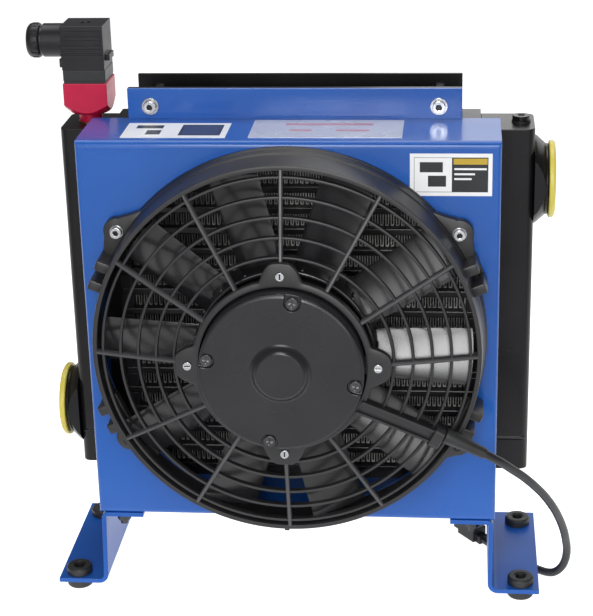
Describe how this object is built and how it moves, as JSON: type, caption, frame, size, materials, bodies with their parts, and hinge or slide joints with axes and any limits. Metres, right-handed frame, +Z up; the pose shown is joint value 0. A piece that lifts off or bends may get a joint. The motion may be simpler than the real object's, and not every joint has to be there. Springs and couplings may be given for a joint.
{
  "type": "hydraulic oil cooler",
  "caption": "Fan-cooled hydraulic oil cooler: bar and plate core between two tanks, sheet metal shroud, guarded axial fan, thermal switch and rubber-bushed feet.",
  "frame": {"origin": "centre of the four foot bolt holes at floor level", "axes": "+X across the core towards the right tank seen from the fan, +Y from the fan towards the core's open rear face, +Z up"},
  "size_m": [0.3534, 0.1716, 0.3675],
  "materials": {
    "blue_paint": "gloss",
    "core_aluminium": "satin, dark painted edges",
    "black_paint": "satin",
    "yellow_plastic": "gloss",
    "zinc_steel": "bright zinc",
    "black_steel": "black oxide",
    "black_rubber": "matt",
    "cable_jacket": "matt",
    "red_anodised": "satin red anodised",
    "copper_seal": "plain copper",
    "black_plastic": "satin",
    "impeller_plastic": "gloss",
    "ferrite": "matt",
    "phenolic": "matt",
    "winding": "laminated iron with enamelled wire",
    "label": "printed label",
    "plate": "satin"
  },
  "bodies": {
    "cooler": {"shroud": "blue_paint", "core_tubes": "core_aluminium", "core_fins": "core_aluminium", "core_end_bars": "black_paint", "top_side_channel": "black_paint", "bottom_side_channel": "black_paint", "left_tank": "black_paint", "right_tank": "black_paint", "left_port_boss": "black_paint", "right_port_boss": "black_paint", "vent_plug": "black_steel", "vent_seal": "black_rubber", "switch_body": "red_anodised", "switch_seal": "copper_seal", "switch_snap_disc": "zinc_steel", "connector_base": "black_plastic", "connector_gasket": "black_rubber", "fan_housing": "black_plastic", "motor_can": "black_paint", "motor_magnets": "ferrite", "motor_cover": "black_paint", "motor_cover_screws": "black_steel", "motor_mount_screws": "black_steel", "brush_plate": "phenolic", "motor_brushes": "ferrite", "motor_bearings": "zinc_steel", "fan_mount_screws": "zinc_steel", "fan_mount_washers": "zinc_steel", "fan_mount_nuts": "zinc_steel", "flange_screws": "zinc_steel", "flange_washers": "zinc_steel", "flange_nuts": "zinc_steel", "left_foot": "blue_paint", "right_foot": "blue_paint", "foot_screws": "black_steel", "foot_washers": "black_steel", "foot_nuts": "black_steel", "rubber_bushings": "black_rubber", "bushing_sleeves": "black_steel", "cable_boot": "black_rubber", "fan_cable": "cable_jacket", "fan_connector": "black_plastic", "guard_label": "label", "top_label": "label", "rating_plate": "plate"},
    "rotor": {"motor_shaft": "zinc_steel", "motor_armature": "winding", "motor_commutator": "copper_seal", "impeller": "impeller_plastic", "impeller_clip": "zinc_steel"},
    "switch_plug": {"connector_housing": "black_plastic", "contact_block": "black_plastic", "gland_nut": "black_plastic", "gland_grommet": "black_rubber", "connector_screw": "zinc_steel"},
    "left_cap": {"left_port_cap": "yellow_plastic"},
    "right_cap": {"right_port_cap": "yellow_plastic"}
  },
  "joints": [
    {"name": "fan_spin", "type": "hinge", "parent": "cooler", "child": "rotor", "pos_m": [0, -0.061, 0.1845], "axis": [0, -1, 0], "continuous": true},
    {"name": "switch_plug_lift", "type": "slide", "parent": "cooler", "child": "switch_plug", "axis": [0, 0, 1], "range_m": [0, 0.04]},
    {"name": "left_cap_pull", "type": "slide", "parent": "cooler", "child": "left_cap", "axis": [-1, 0, 0], "range_m": [0, 0.03]},
    {"name": "right_cap_pull", "type": "slide", "parent": "cooler", "child": "right_cap", "axis": [1, 0, 0], "range_m": [0, 0.03]}
  ]
}
